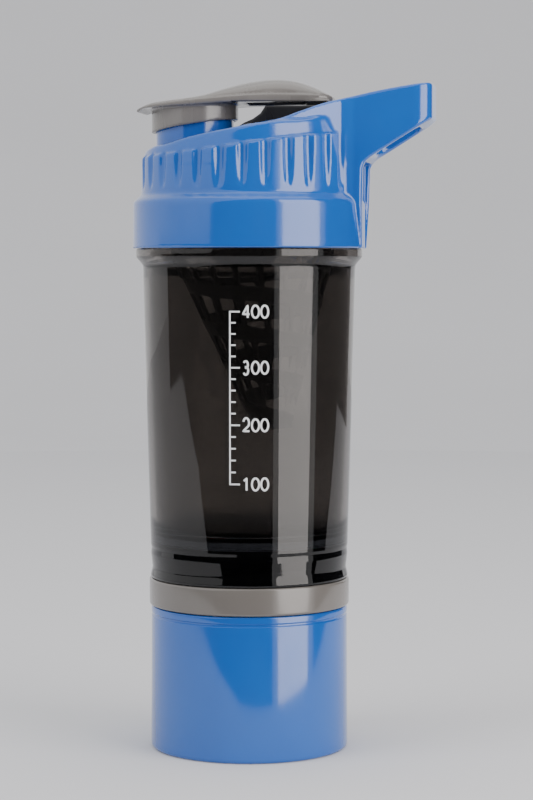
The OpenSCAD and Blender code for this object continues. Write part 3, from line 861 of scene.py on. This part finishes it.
def make_plug():
    low, high = plug_lo[2], plug_hi[2]
    r = plug_hi[1]
    outline = rounded([
        (0, low + 3.6, 0), (r - 3.2, low + 3.6, 0.8), (r - 3.2, low, 0.5), (r - 1.1, low, 0.7),
        (r - 0.5, low + 2.4, 0.8), (r, low + 3.2, 0.5), (r, low + 4.1, 0.3), (r - 0.4, high, 0.3),
        (0, high, 0),
    ])
    verts, faces = lathe(outline, 128)
    verts = verts + np.array([SPOUT_X, 0, 0])
    piece("spout_plug_seal", verts, faces, "cap", "silicone", SILICONE, ["spout_plug"])


make_pin()
make_plug()


# ---------------------------------------------------------------- mixing grid

GRID_TOP_Z = NECK_TOP - 6
GRID_LOW_Z = grid_lo[2] + 1.5
GRID_R_HIGH, GRID_R_LOW, GRID_LEAN = 36.2, 8.0, 9.0
ROW_PITCH = 15.8
WINDOW_PITCH = 9.6
WINDOW_HALF_H = 4.9
RIB_HALF = 2.2
RIB_AT = math.radians(168)


def grid_field(x, y, z):
    """The leaning strainer cone, its spiral rows of windows, and the collar that hangs it in the neck."""
    t = np.clip((GRID_TOP_Z - z) / (GRID_TOP_Z - GRID_LOW_Z), 0, 1)
    dx = x - GRID_LEAN * t
    r = np.hypot(dx, y)
    turn = np.arctan2(-y, dx)
    radius = GRID_R_HIGH + (GRID_R_LOW - GRID_R_HIGH) * t
    shell = smax(np.abs(r - radius + 0.7) - 0.75, np.maximum(GRID_LOW_Z - 1.4 - z, z - GRID_TOP_Z - 1), 0.5)
    depth = GRID_TOP_Z - z - 3.5 + ROW_PITCH * np.mod(turn / (2 * math.pi) + 0.25, 1.0)
    row = np.floor(depth / ROW_PITCH)
    in_row = depth - (row + 0.5) * ROW_PITCH
    row_r = GRID_R_HIGH + (GRID_R_LOW - GRID_R_HIGH) * np.clip((row + 0.3) * ROW_PITCH / 79, 0, 0.95)
    count = np.maximum(np.round(2 * math.pi * row_r / WINDOW_PITCH), 5)
    across = (np.mod(turn / (2 * math.pi) * count, 1.0) - 0.5) / count * 2 * math.pi * np.maximum(r, 1)
    window = smax(np.abs(across) - WINDOW_PITCH / 2 + 1.1, np.abs(in_row) - WINDOW_HALF_H, 1.4)
    window = np.where((z > GRID_LOW_Z + 4) & (z < GRID_TOP_Z - 3), window, FAR)
    rib = np.abs(np.mod(turn + RIB_AT + math.pi, 2 * math.pi) - math.pi) * r - RIB_HALF
    body = smax(shell, -np.maximum(window, -rib), 0.5)
    floor = smax(smax(r - GRID_R_LOW, np.abs(z - GRID_LOW_Z + 0.5) - 0.8, 0.4), -(r - 2.4), 0.4)
    body = smin(body, floor, 0.5)
    top_r = np.hypot(x, y)
    collar = smax(np.abs(top_r - 36.5) - 1.7, np.maximum(GRID_TOP_Z - 1.4 - z, z - NECK_TOP - 0.6), 0.6)
    flange = smax(np.abs(top_r - 37.7) - 3.0, np.abs(z - NECK_TOP - 0.7) - 0.7, 0.5)
    return smin(body, smin(collar, flange, 0.6), 0.5)


piece("mixing_cone", *surface_net(grid_field, grid_lo, grid_hi, 0.7), "lid_seal", "black_plastic", BLACK_AND_SHADE,
      ["mixing_grid"])


# ---------------------------------------------------------------- printed scale

FIRST_MARK, LAST_MARK, MARK_STEP, NUMBER_STEP = 100, 400, 20, 100


def chamber_volume(z):
    """Volume of the drinking chamber up to height z, in millilitres, as a plain cone."""
    low, high = wall_r(FLOOR_Z) - BOTTLE_WALL, wall_r(z) - BOTTLE_WALL
    return math.pi * (z - FLOOR_Z) * (low * low + low * high + high * high) / 3000


def level(volume):
    """Height at which the chamber holds a volume."""
    low, high = FLOOR_Z, 200.0
    for _ in range(40):
        mid = (low + high) / 2
        if chamber_volume(mid) < volume:
            low = mid
        else:
            high = mid
    return (low + high) / 2


STROKES = {
    "0": [[(0.5 + 0.5 * math.sin(t), 0.5 + 0.5 * math.cos(t)) for t in np.linspace(0, 2 * math.pi, 33)]],
    "1": [[(0.18, 0.78), (0.55, 1.0), (0.55, 0.0)]],
    "2": [arc(0.5, 0.7, 0.4, 165, -40, 10) + [(0.08, 0.02), (0.95, 0.02)]],
    "3": [arc(0.45, 0.75, 0.3, 150, -90, 10) + arc(0.45, 0.26, 0.34, 90, -150, 10)],
    "4": [[(0.72, 0.0), (0.72, 1.0), (0.05, 0.3), (0.98, 0.3)]],
}


def ribbon(points, width):
    """A flat band along a path in the plane, finely divided, as (left, right) point pairs."""
    pts = np.asarray(points, dtype=float)
    lengths = np.linalg.norm(np.diff(pts, axis=0), axis=1)
    dense = [pts[0]]
    for a, b, d in zip(pts[:-1], pts[1:], lengths):
        n = max(1, int(d / 0.35))
        dense += [a + (b - a) * (k + 1) / n for k in range(n)]
    dense = np.array(dense)
    along = np.gradient(dense, axis=0)
    along /= np.maximum(np.linalg.norm(along, axis=1, keepdims=True), 1e-9)
    side = np.stack([-along[:, 1], along[:, 0]], axis=1) * width / 2
    return dense + side, dense - side


def printed(paths, width, face_turn, body_offset=0.02, thickness=0.06):
    """Bands laid on the bottle's wall: paths are in mm, x across the front and y up."""
    parts = []
    for path in paths:
        left, right = ribbon(path, width)
        verts, faces = [], []
        for lift in (body_offset, body_offset + thickness):
            for row in (left, right):
                for px, pz in row:
                    r = wall_r(pz)
                    a = face_turn + px / r
                    verts.append(((r + lift) * math.cos(a), (r + lift) * math.sin(a), pz))
        n = len(left)
        low_l, low_r, top_l, top_r = 0, n, 2 * n, 3 * n
        for i in range(n - 1):
            faces.append((top_l + i, top_r + i, top_r + i + 1, top_l + i + 1))
            faces.append((low_r + i, low_l + i, low_l + i + 1, low_r + i + 1))
            faces.append((low_l + i, top_l + i, top_l + i + 1, low_l + i + 1))
            faces.append((top_r + i, low_r + i, low_r + i + 1, top_r + i + 1))
        faces.append((low_l, low_r, top_r, top_l))
        faces.append((low_l + n - 1, top_l + n - 1, top_r + n - 1, low_r + n - 1))
        parts.append((verts, faces))
    return join_parts(*parts)


def make_scale():
    """Ticks every 20 ml and numbers every 100 ml, at the heights where the chamber holds that much."""
    digit_h, digit_w, pitch = 4.6, 2.7, 3.5
    left, minor, major = -7.0, 2.2, 3.8
    ticks, digits = [], []
    for volume in range(FIRST_MARK, LAST_MARK + 1, MARK_STEP):
        z = level(volume)
        labelled = volume % NUMBER_STEP == 0
        ticks.append([(left, z), (left + (major if labelled else minor), z)])
        for i, c in enumerate(str(volume) if labelled else ""):
            x0 = left + major + 1.0 + i * pitch
            digits += [[(x0 + u * digit_w, z + (v - 0.5) * digit_h) for u, v in stroke]
                       for stroke in STROKES[c]]
    ticks.append([(left, level(FIRST_MARK) - 0.3), (left, level(LAST_MARK) + 0.3)])
    face_turn = -math.pi / 2 + YAW
    verts, faces = join_parts(printed(ticks, 0.6, face_turn), printed(digits, 0.75, face_turn))
    piece("printed_scale", verts, faces, "bottle", None, INK)


make_scale()


# ---------------------------------------------------------------- studio

def around(azimuth, distance, height):
    """A place by its angle from the camera's side, clockwise seen from above, about the bottle's axis."""
    a = -math.pi / 2 + YAW + math.radians(azimuth)
    return (distance * math.cos(a), distance * math.sin(a), height)


def aim(obj, target):
    direction = Vector(target) - obj.location
    obj.rotation_euler = direction.to_track_quat("-Z", "Y").to_euler()


def area_light(name, location, target, size, power, colour=(1, 1, 1), glossy=True):
    light = bpy.data.lights.new(name, "AREA")
    light.shape = "RECTANGLE"
    light.size, light.size_y = size
    light.energy = power
    light.color = colour
    obj = bpy.data.objects.new(name, light)
    obj.location = location
    bpy.context.scene.collection.objects.link(obj)
    aim(obj, target)
    obj.visible_glossy = glossy


def studio_material(name, light, dark=None, specular=None):
    """Matt paint that varies a little between two colours; dark is a shade of light if not given."""
    mat, tree, shader = new_material(name)
    if dark is None:
        dark = tuple(c * 0.97 for c in light)
    vary_colour(tree, shader, dark, light, remap(tree, noise(tree, 3, 3), 0, 1))
    shader.inputs["Roughness"].default_value = 0.9
    if specular is not None:
        shader.inputs["Specular IOR Level"].default_value = specular
    return mat


STUDIO = (0.69, 0.69, 0.705)
LIT_TABLE = (0.64, 0.64, 0.655)
STUDIO_SPECULAR = 0.1
FLOOR_SIZE = 8


def make_floor():
    """The pale floor; reflections see the lit table in its place."""
    bpy.ops.mesh.primitive_plane_add(size=1, location=(0, 0, 0), rotation=(0, 0, 0))
    obj = bpy.context.object
    obj.name = "floor"
    obj.scale = (FLOOR_SIZE, FLOOR_SIZE, 1)
    obj.data.materials.append(studio_material("floor", STUDIO, specular=STUDIO_SPECULAR))
    obj.visible_glossy = False


def make_backdrop():
    """A round seamless backdrop that rises from the floor far behind the bottle."""
    start, bend, height, lift, segments = 1.5, 1.6, 4.0, 0.001, 128
    outline = [(start + bend * math.sin(t), lift + bend * (1 - math.cos(t)))
               for t in np.linspace(0, math.pi / 2, 24)]
    outline.append((start + bend, height))
    turns = np.linspace(0, 2 * math.pi, segments, endpoint=False)
    verts = [(r * math.cos(a), r * math.sin(a), z) for a in turns for r, z in outline]
    ring = len(outline)
    faces = []
    for i in range(segments):
        here, after = i * ring, (i + 1) % segments * ring
        faces += [(here + k, after + k, after + k + 1, here + k + 1) for k in range(ring - 1)]
    obj = linked_mesh("backdrop", verts, faces, studio_material("backdrop", STUDIO, specular=STUDIO_SPECULAR))
    obj.visible_diffuse = False
    obj.visible_glossy = False
    obj.visible_shadow = False


make_floor()
make_backdrop()

world = bpy.data.worlds.new("studio")
world.use_nodes = True
world.node_tree.nodes["Background"].inputs["Color"].default_value = (0.94, 0.94, 0.955, 1)
world.node_tree.nodes["Background"].inputs["Strength"].default_value = 1.0
bpy.context.scene.world = world

area_light("strip_right", around(52, 0.9, 0.30), (0, 0, 0.14), (0.66, 1.1), 9.6, (1.0, 0.95, 0.92))
area_light("key_left", around(-60, 1.3, 1.1), (0, 0, 0.1), (0.9, 0.9), 9, glossy=False)
area_light("top", (0.1, 0.1, 1.3), (0, 0, 0), (1.2, 1.2), 3)


def reflected_sheet(name, verts, faces, material):
    """A studio sheet that only reflections see."""
    obj = linked_mesh(name, verts, faces, material, smooth=False)
    obj.visible_camera = False
    obj.visible_diffuse = False
    obj.visible_transmission = False
    obj.visible_shadow = False


FLAG_LIGHT, FLAG_DARK = (0.012, 0.012, 0.014), (0.008, 0.008, 0.01)


def flag(name, first, last, high, low=-1.6, distance=1.4, steps=24):
    """A dark curved sheet between two angles, as the room's unlit side; high is its top at each end."""
    verts = [around(first + (last - first) * i / steps, distance, z)
             for i in range(steps + 1) for z in (low, high[0] + (high[1] - high[0]) * i / steps)]
    faces = [(2 * i, 2 * i + 2, 2 * i + 3, 2 * i + 1) for i in range(steps)]
    reflected_sheet(name, verts, faces, studio_material(name, FLAG_LIGHT, FLAG_DARK))


flag("flag_left", -97, -38, (0.20, 0.21))
flag("flag_slope", -38, -22, (0.21, 0.75))
flag("flag_front", -22, 27, (0.75, 2.4))
flag("flag_right", 79, 142, (2.4, 2.4))

# the lit table ends close in front of the bottle, and reaches further round its sides: (azimuth, distance)
TABLE_EDGE = [(-180, 2.4), (-140, 2.4), (-97, 2.4), (-75, 1.3), (-58, 0.80), (-50, 0.56), (-40, 0.36),
              (-30, 0.26), (-20, 0.20), (-8, 0.148), (8, 0.137), (22, 0.142), (45, 0.165), (63, 0.205),
              (85, 0.34), (100, 0.62), (115, 1.4), (140, 2.4)]
TABLE_LIFT = 0.0002
edge_count = len(TABLE_EDGE)
reflected_sheet("table", [around(a, d, TABLE_LIFT) for a, d in TABLE_EDGE] + [(0, 0, TABLE_LIFT)],
                [(i, (i + 1) % edge_count, edge_count) for i in range(edge_count)],
                studio_material("table", LIT_TABLE))

CAMERA_AT = (0.1511, -0.8903, 0.1871)
CAMERA_TILT = math.radians(90 - 3.18)
camera_data = bpy.data.cameras.new("camera")
camera_data.sensor_width = 36
camera_data.lens = 103.25
camera = bpy.data.objects.new("camera", camera_data)
camera.location = CAMERA_AT
camera.rotation_euler = (CAMERA_TILT, 0, YAW)
bpy.context.scene.collection.objects.link(camera)
bpy.context.scene.camera = camera
